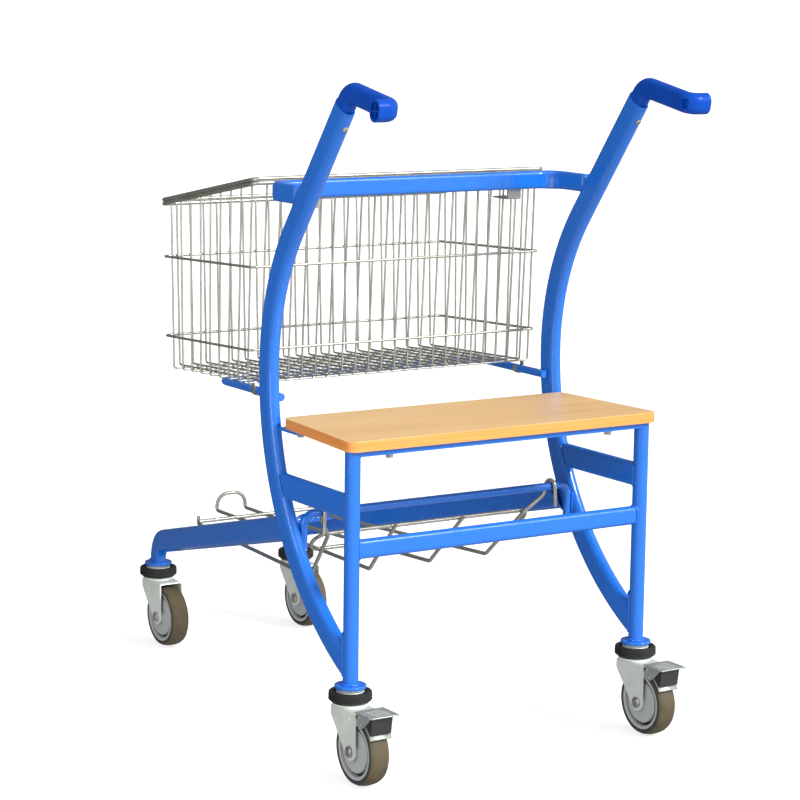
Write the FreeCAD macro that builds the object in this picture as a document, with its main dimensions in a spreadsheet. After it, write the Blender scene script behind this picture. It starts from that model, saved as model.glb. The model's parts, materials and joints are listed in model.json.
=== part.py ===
import FreeCAD, Part
import math
import os
import Sketcher

# Shopping cart with a wooden seat: welded tube frame, wire basket, lower wire rack and four casters.
# Millimetres, +Z up from the floor, +Y towards the front of the cart, +X to the right of the person
# pushing it. The origin lies on the floor midway between the two rear legs.
os.makedirs("parts", exist_ok=True)
doc = FreeCAD.newDocument("shopping_cart")
V = FreeCAD.Vector

# ---------------------------------------------------------------- driving dimensions
SIZES = {
    "frame_half": 249.5, "wall": 1.8,
    "leg_diameter": 22, "leg_bottom": 136, "leg_top": 467.4,
    "tube_depth": 38, "tube_width": 20,
    "bow_front": 234, "bow_height": 545, "lower_radius": 435, "lower_sweep": 64,
    "upper_radius": 355, "upper_lean": 37, "tube_end_height": 937,
    "rail_height": 36, "rail_width": 14, "rail_level": 386,
    "crossbar_height": 28, "crossbar_width": 14, "crossbar_level": 327,
    "strip_width": 22, "strip_thickness": 8, "strip_level": 459,
    "seat_rear_width": 532, "seat_front_width": 492, "seat_rear": 19, "seat_front": 199,
    "seat_thickness": 15, "seat_underside": 467.6, "seat_corner": 13, "seat_edge": 1,
    "tab_thickness": 4, "tab_width": 34, "tab_rear": 142, "tab_centre": 232,
    "bar_height": 27, "bar_width": 16, "bar_forward": 236, "bar_level": 806.5, "bar_bend": 34,
    "rod_diameter": 12, "rod_half": 233.5, "rod_rear": 226, "rod_forward": 405, "rod_level": 507,
    "rod_bend": 15, "hanger_level": 346, "hanger_forward": 160, "hanger_foot": 296, "hanger_bend": 17,
    "front_half": 133, "front_forward": 810, "arm_rear": 150, "arm_rear_level": 331.3,
    "arm_slope": 13.6, "arm_bend": 40, "rest_forward": 700, "rest_level": 204.5, "rest_half": 141.3,
    "basket_half": 257, "basket_rear": 268, "basket_front": 565, "basket_top": 820, "basket_tilt": 2.4,
    "basket_front_top": 778.2, "basket_low_rear": 303.5, "floor_level": 520.5, "floor_gap": 2.88,
    "rim_wire": 6, "band_wire": 4, "wall_wire": 3, "basket_corner": 9, "band_corner": 8, "floor_bend": 4,
    "upper_band": 692, "lower_band": 570, "rear_wires": 21, "side_wires": 9, "rear_span": 462,
    "side_first": 286, "side_last": 539, "side_first_low": 309, "side_last_low": 541,
    "rack_wire": 6, "hook_gap": 0.3,
    "wheel_diameter": 100, "tyre_width": 32, "tyre_inner": 82, "hub_width": 29, "trail": 34,
    "axle_diameter": 8, "running_gap": 0.06, "fork_inside": 37.4, "fork_sheet": 2.4,
    "plate_diameter": 45, "plate_thickness": 5, "bumper_diameter": 61, "bumper_height": 16.2,
    "bumper_bottom": 111.2, "collar_diameter": 38, "pin_diameter": 10, "crown_top": 107.8,
    "raceway_diameter": 50, "raceway_top": 110.8, "pivot_rear": 31, "pivot_level": 96.5,
    "rivet_diameter": 5, "ear_sheet": 1.5, "pedal_width": 46, "pedal_front": 50, "pedal_rear": 92,
    "pedal_level": 110.2, "pedal_sheet": 2, "shoe_width": 33,
    "grip_height": 31, "grip_width": 24, "stub_reach": 28, "stub_level": 937.6, "stub_rear": 91,
}

sheet = doc.addObject("Spreadsheet::Sheet", "Sizes")
for row, (alias, value) in enumerate(SIZES.items(), start=1):
    sheet.set(f"A{row}", alias)
    sheet.set(f"B{row}", str(value))
    sheet.setAlias(f"B{row}", alias)
doc.recompute()


def size(alias):
    """Value of one cell of the sheet."""
    return float(getattr(sheet, alias))


def bind(obj, **expressions):
    """Tie properties of an object to expressions in the sheet's aliases."""
    for path, expression in expressions.items():
        obj.setExpression(path, expression)


def at(x=0.0, y=0.0, z=0.0, rotation=None):
    return FreeCAD.Placement(V(x, y, z), rotation or FreeCAD.Rotation())


def facing(normal, upright):
    """Rotation that turns a sketch so that its Z is normal and its Y is upright."""
    side = upright.cross(normal)
    return FreeCAD.Rotation(side, upright, normal, "ZYX")


# ---------------------------------------------------------------- modelling helpers
parts = []


def new_body(name, placement=None):
    body = doc.addObject("PartDesign::Body", name)
    body.Label = name
    if placement:
        body.Placement = placement
    parts.append(body)
    return body


def origin_item(body, role):
    return next(item for item in body.Origin.OriginFeatures if item.Role == role)


def new_sketch(body, name, role="XY_Plane", offset=None):
    sketch = body.newObject("Sketcher::SketchObject", name)
    sketch.AttachmentSupport = [(origin_item(body, role), "")]
    sketch.MapMode = "FlatFace"
    if offset:
        sketch.AttachmentOffset = offset
    return sketch


def limit(sketch, constraint, expression):
    """Add a dimension to a sketch and drive it from the sheet."""
    index = sketch.addConstraint(constraint)
    sketch.setExpression(f"Constraints[{index}]", expression)


def draw_circle(sketch, x, y, radius, expression=None):
    index = sketch.addGeometry(Part.Circle(V(x, y, 0), V(0, 0, 1), radius), False)
    if expression:
        limit(sketch, Sketcher.Constraint("Radius", index, radius), expression)
    return index


def draw_oval(sketch, long_alias, short_alias, inset=None, centre_alias=None):
    """Stadium outline, long along the sketch's Y; inset draws the bore of a tube."""
    wall = size(inset) if inset else 0.0
    radius = size(short_alias) / 2 - wall
    half = (size(long_alias) - size(short_alias)) / 2
    middle = size(centre_alias) if centre_alias else 0.0
    z = V(0, 0, 1)
    high, low = middle + half, middle - half
    top = Part.ArcOfCircle(Part.Circle(V(0, high, 0), z, radius), 0, math.pi)
    bottom = Part.ArcOfCircle(Part.Circle(V(0, low, 0), z, radius), math.pi, 2 * math.pi)
    left = Part.LineSegment(V(-radius, high, 0), V(-radius, low, 0))
    right = Part.LineSegment(V(radius, low, 0), V(radius, high, 0))
    a, b, c, d = [sketch.addGeometry(item, False) for item in (top, left, bottom, right)]
    for first, second in ((a, b), (b, c), (c, d), (d, a)):
        sketch.addConstraint(Sketcher.Constraint("Tangent", first, 2, second, 1))
    sketch.addConstraint(Sketcher.Constraint("PointOnObject", a, 3, -2))
    sketch.addConstraint(Sketcher.Constraint("PointOnObject", c, 3, -2))
    less = f" - Sizes.{inset}" if inset else ""
    limit(sketch, Sketcher.Constraint("Radius", a, radius), f"Sizes.{short_alias} / 2{less}")
    straight = f"(Sizes.{long_alias} - Sizes.{short_alias}) / 2"
    shift = f"Sizes.{centre_alias} + " if centre_alias else ""
    limit(sketch, Sketcher.Constraint("DistanceY", -1, 1, a, 3, high), shift + straight)
    if centre_alias:
        limit(sketch, Sketcher.Constraint("DistanceY", -1, 1, c, 3, low), f"Sizes.{centre_alias} - {straight}")
    else:
        limit(sketch, Sketcher.Constraint("DistanceY", c, 3, -1, 1, half), straight)


def draw_polygon(sketch, points):
    corners = [V(x, y, 0) for x, y in points]
    first = sketch.GeometryCount
    for start, end in zip(corners, corners[1:] + corners[:1]):
        sketch.addGeometry(Part.LineSegment(start, end), False)
    count = len(corners)
    for k in range(count):
        sketch.addConstraint(Sketcher.Constraint("Coincident", first + k, 2, first + (k + 1) % count, 1))


def rounded_path(points, radii):
    """Lines and tangent arcs through planar points; radii are those of the inner corners."""
    pieces = []
    cursor = points[0]
    for k in range(1, len(points) - 1):
        corner = points[k]
        into = (corner - points[k - 1]).normalize()
        out = (points[k + 1] - corner).normalize()
        turn = into.getAngle(out)
        reach = radii[k - 1] * math.tan(turn / 2)
        begin = corner - into * reach
        end = corner + out * reach
        bulge = (out - into).normalize()
        centre = corner + bulge * (radii[k - 1] / math.cos(turn / 2))
        middle = centre - bulge * radii[k - 1]
        pieces.append(Part.LineSegment(cursor, begin))
        pieces.append(Part.Arc(begin, middle, end))
        cursor = end
    pieces.append(Part.LineSegment(cursor, points[-1]))
    return pieces


def draw_path(sketch, points, radii, bend=None):
    """Open path of lines and arcs; the expression bend drives every corner radius."""
    pieces = rounded_path([V(x, y, 0) for x, y in points], radii)
    indices = [sketch.addGeometry(piece, False) for piece in pieces]
    for piece, index in zip(pieces, indices):
        if bend and isinstance(piece, Part.Arc):
            limit(sketch, Sketcher.Constraint("Radius", index, radii[0]), bend)


def sweep(body, name, profile, spine, subtract=False):
    kind = "PartDesign::SubtractivePipe" if subtract else "PartDesign::AdditivePipe"
    pipe = body.newObject(kind, name)
    pipe.Profile = profile
    pipe.Spine = (spine, [f"Edge{k + 1}" for k in range(spine.GeometryCount)])
    body.Tip = pipe
    return pipe


def pad(body, name, profile, length, symmetric=False, reverse=False):
    feature = body.newObject("PartDesign::Pad", name)
    feature.Profile = profile
    feature.setExpression("Length", length)
    if symmetric:
        feature.SideType = "Symmetric"
    feature.Reversed = reverse
    body.Tip = feature
    return feature


def cut_through(body, name, role, points=None, circles=(), offset=None):
    """Pocket through everything on both sides of one origin plane."""
    sketch = new_sketch(body, f"{name}_sketch", role, offset)
    if points:
        draw_polygon(sketch, points)
    for x, y, radius, expression in circles:
        draw_circle(sketch, x, y, radius, expression)
    feature = body.newObject("PartDesign::Pocket", name)
    feature.Profile = sketch
    feature.SideType = "Symmetric"
    feature.Type = "Length"
    feature.Length = 2000
    body.Tip = feature
    return feature


def round_wire(name, points, radii, diameter, placement=None, keep=True, closed=False):
    """Round bar bent through points in space, as one solid."""
    vectors = [V(*point) for point in points]
    pieces = rounded_path(vectors, radii)
    edges = [piece.toShape() for piece in pieces if piece.length() > 1e-6]
    path = Part.Wire(edges)
    start = edges[0].Vertexes[0].Point
    heading = (vectors[1] - vectors[0]).normalize()
    ring = Part.Wire([Part.Circle(start, heading, size(diameter) / 2).toShape()])
    solid = path.makePipeShell([ring], True, False)
    if not keep:
        return solid
    return feature_from(name, solid, placement)


def feature_from(name, shape, placement=None):
    feature = doc.addObject("Part::Feature", name)
    feature.Label = name
    feature.Shape = shape
    feature.Placement = placement or at()
    parts.append(feature)
    return feature


def side_of(sign):
    return "left" if sign < 0 else "right"


def arc_front(level):
    """Forward position of the side tube's centre line at a height, and its lean there."""
    rise = level - size("bow_height")
    lean = math.radians(size("upper_lean"))
    if rise <= 0:
        radius = size("lower_radius")
        angle = math.asin(-rise / radius)
        return size("bow_front") - radius * (1 - math.cos(angle)), -angle
    radius = size("upper_radius")
    bend_top = radius * math.sin(lean)
    if rise < bend_top:
        angle = math.asin(rise / radius)
        return size("bow_front") - radius * (1 - math.cos(angle)), angle
    y = size("bow_front") - radius * (1 - math.cos(lean)) - (rise - bend_top) * math.tan(lean)
    return y, lean


def tube_face_line(level, front, margin=0.0):
    """Point on the side tube's front or rear surface at a height, and the surface's direction."""
    y, lean = arc_front(level)
    reach = (size("tube_depth") / 2 + margin) / math.cos(lean)
    direction = V(0, -math.sin(lean), math.cos(lean))
    return V(0, y + (reach if front else -reach), level), direction


# ---------------------------------------------------------------- side tubes
def bent_tube(body, name, radius_alias, angle_alias, downward):
    """One bend of the bowed tube, turned about the centre of its arc."""
    centre = size("bow_front") - size(radius_alias)
    section = new_sketch(body, f"{name}_section", "XY_Plane", at(0, centre, size("bow_height")))
    for inset in (None, "wall"):
        draw_oval(section, "tube_depth", "tube_width", inset, radius_alias)
    bend = body.newObject("PartDesign::Revolution", name)
    bend.Profile = section
    bend.ReferenceAxis = (section, ["H_Axis"])
    bind(bend, Angle=f"Sizes.{angle_alias}")
    bend.Reversed = downward
    body.Tip = bend


def make_side_tube(sign):
    side = side_of(sign)
    body = new_body(f"side_tube_{side}")
    bind(body, **{".Placement.Base.x": f"{sign} * Sizes.frame_half"})
    bent_tube(body, f"lower_bend_{side}", "lower_radius", "lower_sweep", True)
    bent_tube(body, f"upper_bend_{side}", "upper_radius", "upper_lean", False)
    lean = math.radians(size("upper_lean"))
    bend_top = size("bow_height") + size("upper_radius") * math.sin(lean)
    start, _ = arc_front(bend_top)
    heading = V(0, -math.sin(lean), math.cos(lean))
    section = new_sketch(body, f"straight_section_{side}", "XY_Plane",
                         at(0, start, bend_top, facing(heading, V(0, math.cos(lean), math.sin(lean)))))
    for inset in (None, "wall"):
        draw_oval(section, "tube_depth", "tube_width", inset)
    rise = f"(Sizes.tube_end_height - {bend_top}) / {math.cos(lean)}"
    pad(body, f"straight_run_{side}", section, rise)
    cut_through(body, f"leg_cope_{side_of(sign)}", "XY_Plane",
                circles=[(0, 0, size("leg_diameter") / 2, "Sizes.leg_diameter / 2")])
    cut_through(body, f"leg_trim_{side_of(sign)}", "YZ_Plane",
                [(2.5, 60), (2.5, 240), (-160, 240), (-160, 60)])
    return body


tubes = [make_side_tube(sign) for sign in (-1, 1)]


# ---------------------------------------------------------------- rear legs, rails and crossbar
for sign in (-1, 1):
    leg = new_body(f"rear_leg_{side_of(sign)}")
    bind(leg, **{".Placement.Base.x": f"{sign} * Sizes.frame_half",
                 ".Placement.Base.z": "Sizes.leg_bottom"})
    ring = new_sketch(leg, f"leg_ring_{side_of(sign)}")
    draw_circle(ring, 0, 0, size("leg_diameter") / 2, "Sizes.leg_diameter / 2")
    draw_circle(ring, 0, 0, size("leg_diameter") / 2 - size("wall"), "Sizes.leg_diameter / 2 - Sizes.wall")
    pad(leg, f"leg_pad_{side_of(sign)}", ring, "Sizes.leg_top - Sizes.leg_bottom")

for sign in (-1, 1):
    rail = new_body(f"side_rail_{side_of(sign)}")
    bind(rail, **{".Placement.Base.x": f"{sign} * Sizes.frame_half",
                  ".Placement.Base.z": "Sizes.rail_level"})
    section = new_sketch(rail, f"rail_section_{side_of(sign)}", "XZ_Plane", at(0, 0, -4))
    draw_oval(section, "rail_height", "rail_width")
    draw_oval(section, "rail_height", "rail_width", "wall")
    pad(rail, f"rail_pad_{side_of(sign)}", section, "Sizes.bow_front - 20", reverse=True)
    cut_through(rail, f"rail_leg_cope_{side_of(sign)}", "XY_Plane",
                circles=[(0, 0, size("leg_diameter") / 2, "Sizes.leg_diameter / 2")])
    level = size("rail_level")
    low, _ = tube_face_line(level - 26, front=False)
    mid, _ = tube_face_line(level, front=False)
    high, _ = tube_face_line(level + 26, front=False)
    cut_through(rail, f"rail_tube_cope_{side_of(sign)}", "YZ_Plane",
                [(low.y, low.z - level), (400, low.z - level), (400, high.z - level),
                 (high.y, high.z - level), (mid.y, 0)])

crossbar = new_body("rear_crossbar")
bind(crossbar, **{".Placement.Base.z": "Sizes.crossbar_level"})
section = new_sketch(crossbar, "crossbar_section", "YZ_Plane")
draw_oval(section, "crossbar_height", "crossbar_width")
draw_oval(section, "crossbar_height", "crossbar_width", "wall")
pad(crossbar, "crossbar_pad", section, "2 * Sizes.frame_half", symmetric=True)
cut_through(crossbar, "crossbar_copes", "XY_Plane",
            circles=[(sign * size("frame_half"), 0, size("leg_diameter") / 2, "Sizes.leg_diameter / 2")
                     for sign in (-1, 1)])

# ---------------------------------------------------------------- seat and its supports
SEAT_BOLTS = [(-190, 0), (187, 0)] + [(sign * size("tab_centre"), 172) for sign in (-1, 1)]
strip = doc.addObject("Part::Box", "strip_blank")
bind(strip, Length="2 * Sizes.frame_half", Width="Sizes.strip_width", Height="Sizes.strip_thickness",
     **{".Placement.Base.x": "-Sizes.frame_half", ".Placement.Base.y": "-Sizes.strip_width / 2",
        ".Placement.Base.z": "Sizes.strip_level"})
tools = []
for sign in (-1, 1):
    tool = doc.addObject("Part::Cylinder", f"strip_cope_{side_of(sign)}")
    bind(tool, Radius="Sizes.leg_diameter / 2", **{".Placement.Base.x": f"{sign} * Sizes.frame_half"})
    tool.Height = 600
    tools.append(tool)
for k, (x, y) in enumerate(SEAT_BOLTS[:2]):
    tool = doc.addObject("Part::Cylinder", f"strip_hole_{k}")
    tool.Radius = 3.2
    tool.Height = 600
    tool.Placement = at(x, y, 0)
    tools.append(tool)
cope = doc.addObject("Part::MultiFuse", "strip_copes")
cope.Shapes = tools
seat_strip = doc.addObject("Part::Cut", "seat_rear_strip")
seat_strip.Base = strip
seat_strip.Tool = cope
parts.append(seat_strip)

seat = new_body("seat_board")
bind(seat, **{".Placement.Base.z": "Sizes.seat_underside"})
outline = new_sketch(seat, "seat_outline")
rear_half, front_half = size("seat_rear_width") / 2, size("seat_front_width") / 2
draw_polygon(outline, [(-rear_half, -size("seat_rear")), (rear_half, -size("seat_rear")),
                       (front_half, size("seat_front")), (-front_half, size("seat_front"))])
for edge in (0, 2):
    outline.addConstraint(Sketcher.Constraint("Horizontal", edge))
limit(outline, Sketcher.Constraint("DistanceX", 0, 1, 0, 2, 2 * rear_half), "Sizes.seat_rear_width")
limit(outline, Sketcher.Constraint("DistanceX", -1, 1, 0, 2, rear_half), "Sizes.seat_rear_width / 2")
limit(outline, Sketcher.Constraint("DistanceX", 2, 2, 2, 1, 2 * front_half), "Sizes.seat_front_width")
limit(outline, Sketcher.Constraint("DistanceX", -1, 1, 2, 1, front_half), "Sizes.seat_front_width / 2")
limit(outline, Sketcher.Constraint("DistanceY", 0, 1, -1, 1, size("seat_rear")), "Sizes.seat_rear")
limit(outline, Sketcher.Constraint("DistanceY", -1, 1, 2, 1, size("seat_front")), "Sizes.seat_front")
board = pad(seat, "seat_pad", outline, "Sizes.seat_thickness")
doc.recompute()
upright = [f"Edge{k + 1}" for k, edge in enumerate(board.Shape.Edges)
           if abs(edge.Vertexes[0].Z - edge.Vertexes[-1].Z) > 1]
corners = seat.newObject("PartDesign::Fillet", "seat_corners")
corners.Base = (board, upright)
bind(corners, Radius="Sizes.seat_corner")
seat.Tip = corners
doc.recompute()
top = max(vertex.Z for vertex in corners.Shape.Vertexes)
rim_edges = [f"Edge{k + 1}" for k, edge in enumerate(corners.Shape.Edges)
             if all(abs(vertex.Z - top) < 0.01 for vertex in edge.Vertexes)]
eased = seat.newObject("PartDesign::Fillet", "seat_edge_rounding")
eased.Base = (corners, rim_edges)
bind(eased, Radius="Sizes.seat_edge")
seat.Tip = eased
holes = new_sketch(seat, "seat_bolt_holes")
for x, y in SEAT_BOLTS:
    draw_circle(holes, x, y, 3.1)
drilled = seat.newObject("PartDesign::Pocket", "seat_drilling")
drilled.Profile = holes
drilled.Length = 11.4
drilled.Reversed = True
seat.Tip = drilled

for sign in (-1, 1):
    tab = new_body(f"seat_tab_{side_of(sign)}")
    bind(tab, **{".Placement.Base.x": f"{sign} * Sizes.tab_centre",
                 ".Placement.Base.z": "Sizes.seat_underside - Sizes.tab_thickness"})
    flat = new_sketch(tab, f"tab_outline_{side_of(sign)}")
    width = size("tab_width") / 2
    rear = size("tab_rear")
    pieces = [Part.LineSegment(V(width, 212, 0), V(-width, 212, 0)),
              Part.LineSegment(V(-width, 212, 0), V(-width, rear + width, 0)),
              Part.ArcOfCircle(Part.Circle(V(0, rear + width, 0), V(0, 0, 1), width), math.pi, 2 * math.pi),
              Part.LineSegment(V(width, rear + width, 0), V(width, 212, 0))]
    for piece in pieces:
        flat.addGeometry(piece, False)
    draw_circle(flat, 0, 172, 3.2)
    pad(tab, f"tab_pad_{side_of(sign)}", flat, "Sizes.tab_thickness")
    wall_near, _ = tube_face_line(size("seat_underside") - size("tab_thickness"), front=False)
    cut_through(tab, f"tab_trim_{side_of(sign)}", "XY_Plane",
                [(-60, wall_near.y), (60, wall_near.y), (60, 260), (-60, 260)])


def seat_bolt(x, y, seat_plane, hardware):
    """Bolt up into the seat board with a washer and a hexagon head below the steel."""
    depth = 11.0
    shank = Part.makeCylinder(3.1, size("seat_underside") - seat_plane + depth, V(x, y, seat_plane))
    washer = Part.makeCylinder(7.5, 1.4, V(x, y, seat_plane - 1.4))
    corners = [V(x + 5.8 * math.cos(math.radians(a)), y + 5.8 * math.sin(math.radians(a)), seat_plane - 6.4)
               for a in range(0, 420, 60)]
    head = Part.Face(Part.makePolygon(corners)).extrude(V(0, 0, 5.0))
    hardware.append(shank.fuse([washer, head]).removeSplitter())


bolts = []
for x, y in SEAT_BOLTS:
    under = size("strip_level") if y == 0 else size("seat_underside") - size("tab_thickness")
    seat_bolt(x, y, under, bolts)
feature_from("seat_bolts", Part.makeCompound(bolts))

# ---------------------------------------------------------------- basket bar, support rod, rails
bar = new_body("basket_bar")
bind(bar, **{".Placement.Base.z": "Sizes.bar_level"})
path = new_sketch(bar, "bar_path")
ends, _ = tube_face_line(size("bar_level"), front=True)
half, forward, bend = size("frame_half"), size("bar_forward"), size("bar_bend")
draw_path(path, [(-half, ends.y - 30), (-half, forward), (half, forward), (half, ends.y - 30)],
          [bend, bend], "Sizes.bar_bend")
section = new_sketch(bar, "bar_section", "XY_Plane",
                     at(-half, ends.y - 30, 0, facing(V(0, 1, 0), V(0, 0, 1))))
draw_oval(section, "bar_height", "bar_width")
draw_oval(section, "bar_height", "bar_width", "wall")
sweep(bar, "bar_sweep", section, path)
low, _ = tube_face_line(size("bar_level") - 30, front=True)
high, _ = tube_face_line(size("bar_level") + 30, front=True)
cut_through(bar, "bar_copes", "YZ_Plane", [(low.y, -30), (high.y, 30), (60, 30), (60, -30)])

rod = new_body("basket_support_rod")
bind(rod, **{".Placement.Base.z": "Sizes.rod_level"})
path = new_sketch(rod, "rod_path")
half, bend = size("rod_half"), size("rod_bend")
draw_path(path, [(-half, size("rod_rear")), (-half, size("rod_forward")),
                 (half, size("rod_forward")), (half, size("rod_rear"))], [bend, bend], "Sizes.rod_bend")
section = new_sketch(rod, "rod_section", "XY_Plane",
                     at(-half, size("rod_rear"), 0, facing(V(0, 1, 0), V(0, 0, 1))))
draw_circle(section, 0, 0, size("rod_diameter") / 2, "Sizes.rod_diameter / 2")
sweep(rod, "rod_sweep", section, path)

hanger = new_body("rack_hanger_rail")
bind(hanger, **{".Placement.Base.y": "Sizes.hanger_forward"})
path = new_sketch(hanger, "hanger_path", "XZ_Plane")
half, bend, level = size("rod_half"), size("hanger_bend"), size("hanger_level")
draw_path(path, [(-half, size("hanger_foot")), (-half, level), (half, level), (half, size("hanger_foot"))],
          [bend, bend], "Sizes.hanger_bend")
section = new_sketch(hanger, "hanger_section", "XY_Plane", at(-half, 0, size("hanger_foot")))
draw_circle(section, 0, 0, size("rod_diameter") / 2, "Sizes.rod_diameter / 2")
sweep(hanger, "hanger_sweep", section, path)

# ---------------------------------------------------------------- front arms
arm_run = V(size("frame_half") - size("front_half"), size("front_forward") - size("arm_rear"), 0).Length
arm_turn = math.degrees(math.atan2(size("frame_half") - size("front_half"),
                                   size("front_forward") - size("arm_rear")))
for sign in (-1, 1):
    yaw = FreeCAD.Rotation(V(0, 0, 1), sign * arm_turn)
    arm = new_body(f"front_arm_{side_of(sign)}", at(0, size("arm_rear"), 0, yaw))
    bind(arm, **{".Placement.Base.x": f"{sign} * Sizes.frame_half",
                 ".Placement.Base.y": "Sizes.arm_rear"})
    path = new_sketch(arm, f"arm_path_{side_of(sign)}", "YZ_Plane")
    slope = math.radians(size("arm_slope"))
    corner = (arm_run, size("arm_rear_level") - arm_run * math.tan(slope))
    draw_path(path, [(0, size("arm_rear_level")), corner, (arm_run, size("leg_bottom"))],
              [size("arm_bend")], "Sizes.arm_bend")
    heading = V(0, math.cos(slope), -math.sin(slope))
    section = new_sketch(arm, f"arm_section_{side_of(sign)}", "XY_Plane",
                         at(0, 0, size("arm_rear_level"), facing(heading, heading.cross(V(-1, 0, 0)))))
    draw_oval(section, "tube_depth", "tube_width")
    draw_oval(section, "tube_depth", "tube_width", "wall")
    sweep(arm, f"arm_sweep_{side_of(sign)}", section, path)
    low, _ = tube_face_line(300, front=True, margin=0.4)
    mid, _ = tube_face_line(322, front=True, margin=0.1)
    high, _ = tube_face_line(345, front=True, margin=0.4)
    sketch_turn = FreeCAD.Rotation(V(0, 1, 0), -sign * arm_turn)
    cut_through(arm, f"arm_cope_{side_of(sign)}", "YZ_Plane",
                [(low.y - size("arm_rear"), low.z), (mid.y - size("arm_rear"), mid.z),
                 (high.y - size("arm_rear"), high.z), (-80, high.z + 40), (-80, low.z - 80),
                 (low.y - size("arm_rear"), low.z - 80)],
                offset=at(rotation=sketch_turn))

rest = doc.addObject("Part::Cylinder", "rack_rest_rod")
bind(rest, Radius="Sizes.rod_diameter / 2", Height="2 * Sizes.rest_half",
     **{".Placement.Base.x": "-Sizes.rest_half", ".Placement.Base.y": "Sizes.rest_forward",
        ".Placement.Base.z": "Sizes.rest_level"})
rest.Placement.Rotation = FreeCAD.Rotation(V(0, 1, 0), 90)
parts.append(rest)

# ---------------------------------------------------------------- handles
def oval_wire(centre, long_axis, short_axis, long_side, short_side):
    """Stadium outline as a closed wire around a point in space."""
    half = (long_side - short_side) / 2
    radius = short_side / 2
    corner = [centre + long_axis * (a * half) + short_axis * (b * radius)
              for a, b in ((1, 1), (1, -1), (-1, -1), (-1, 1))]
    top = Part.Arc(corner[0], centre + long_axis * (half + radius), corner[1])
    bottom = Part.Arc(corner[2], centre - long_axis * (half + radius), corner[3])
    edges = [top, Part.LineSegment(corner[1], corner[2]), bottom, Part.LineSegment(corner[3], corner[0])]
    return Part.Wire([edge.toShape() for edge in edges])


def make_grip(sign):
    end_y, lean = arc_front(size("tube_end_height"))
    start = V(0, end_y, size("tube_end_height"))
    heading = V(0, -math.sin(lean), math.cos(lean))
    elbow = start + heading * 25
    turn = V(0, -size("stub_rear"), size("stub_level"))
    tip = V(sign * size("stub_reach"), turn.y, turn.z)
    edges = [piece.toShape() for piece in rounded_path([start, elbow, turn, tip], [24, 13])]
    outline = oval_wire(start, V(0, math.cos(lean), math.sin(lean)), V(1, 0, 0),
                        size("grip_height"), size("grip_width"))
    grip = Part.Wire(edges).makePipeShell([outline], True, False)
    across = V(0, 1, 0)
    mouth = tip - V(sign * 22, 0, 0)
    bore = Part.Face(oval_wire(mouth, V(0, 0, 1), across, size("grip_height") - 6, size("grip_width") - 6))
    bore = bore.extrude(V(sign * 23, 0, 0))
    for width, height in ((2, 40), (40, 2)):
        rib = Part.makeBox(30, width, height, V(-15, -width / 2, -height / 2))
        rib.translate(mouth + V(sign * 13, 0, 0))
        bore = bore.cut(rib)
    grip = grip.cut(bore)
    hole = Part.makeCylinder(7.5, 18, turn - V(sign * 24, 0, 0), V(sign, 0, 0))
    return grip.cut(hole)


for sign in (-1, 1):
    feature_from(f"grip_{side_of(sign)}", make_grip(sign), at(sign * size("frame_half"), 0, 0))

screws = []
for sign in (-1, 1):
    face, _ = tube_face_line(905, front=False)
    _, lean = arc_front(905)
    normal = V(0, -math.cos(lean), -math.sin(lean))
    base = V(sign * size("frame_half"), face.y, face.z)
    dome = Part.makeSphere(7, base - normal * 4.6)
    head = dome.common(Part.makeCylinder(4.6, 6, base, normal))
    socket = Part.makeCylinder(1.6, 6, base + normal * 1.2, normal)
    screws.append(head.cut(socket))
feature_from("grip_screws", Part.makeCompound(screws))

# ---------------------------------------------------------------- wire basket
rim_radius = size("rim_wire") / 2
rim_half = size("basket_half") - rim_radius
rim_rear = size("basket_rear") + rim_radius
rim_front = size("basket_front") - rim_radius
rim_slope = math.atan2(size("basket_top") - size("basket_front_top"), rim_front - rim_rear)
bar_offset = rim_radius + size("wall_wire") / 2 - 0.4
wall_half = rim_half - bar_offset
wall_rear = rim_rear + bar_offset
wall_front = rim_front - bar_offset
wall_low_rear = size("basket_low_rear")
tilt = FreeCAD.Rotation(V(1, 0, 0), -size("basket_tilt"))
hinge = V(0, rim_rear, size("basket_top"))
basket_frame = FreeCAD.Placement(hinge - tilt.multVec(hinge), tilt)


def rim_level(y):
    return size("basket_top") - (y - rim_rear) * math.tan(rim_slope)


def wall_rear_at(level):
    """Centre line of the leaning rear wall at a height."""
    share = (size("basket_top") - level) / (size("basket_top") - size("floor_level"))
    return wall_rear + (wall_low_rear - wall_rear) * share


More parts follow.
